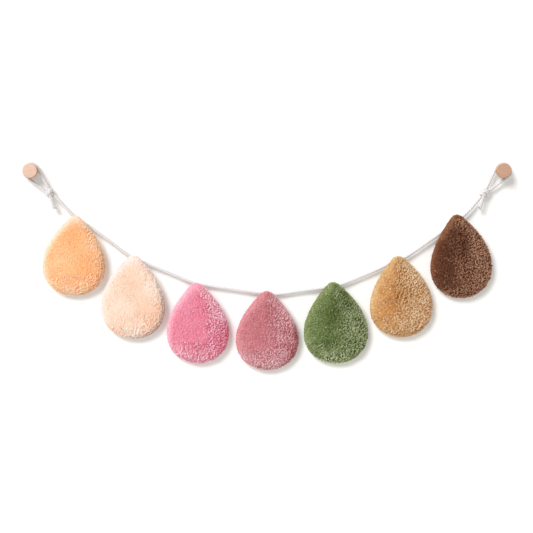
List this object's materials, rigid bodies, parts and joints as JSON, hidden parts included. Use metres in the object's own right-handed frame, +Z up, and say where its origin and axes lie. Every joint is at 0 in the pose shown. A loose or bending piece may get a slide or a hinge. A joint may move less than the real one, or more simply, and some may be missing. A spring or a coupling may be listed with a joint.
{
  "type": "raindrop garland on two wall pegs",
  "caption": "Garland of tufted cut-pile raindrops in assorted colours along a twisted cotton cord, looped and knotted onto a pair of round wooden wall pegs.",
  "frame": {"origin": "centre of the left peg's flat face on the wall", "axes": "+X along the garland from the left peg to the right one, +Y into the wall, +Z up; the wall is the plane Y = 0"},
  "size_m": [0.9755, 0.0316, 0.4165],
  "materials": {
    "pile_peach": "short dense cut pile, soft and slightly uneven, peach",
    "pile_cream": "short dense cut pile, soft and slightly uneven, pale cream peach",
    "pile_pink": "short dense cut pile, soft and slightly uneven, candy pink",
    "pile_rose": "short dense cut pile, soft and slightly uneven, dusty rose",
    "pile_green": "short dense cut pile, soft and slightly uneven, moss green",
    "pile_tan": "short dense cut pile, soft and slightly uneven, golden tan",
    "pile_brown": "short dense cut pile, soft and slightly uneven, warm brown",
    "cotton_cord": "twisted cotton cord, matt off-white",
    "peg_wood": "fine-grained pale pinkish wood, sanded and waxed"
  },
  "bodies": {
    "root": {"drop_peach": "pile_peach", "drop_cream": "pile_cream", "drop_pink": "pile_pink", "drop_rose": "pile_rose", "drop_green": "pile_green", "drop_tan": "pile_tan", "drop_brown": "pile_brown", "garland_cord": "cotton_cord", "loop_left": "cotton_cord", "loop_right": "cotton_cord", "knot_left": "cotton_cord", "knot_right": "cotton_cord", "tail_left": "cotton_cord", "tail_right": "cotton_cord", "peg_left": "peg_wood", "peg_right": "peg_wood"}
  },
  "joints": []
}
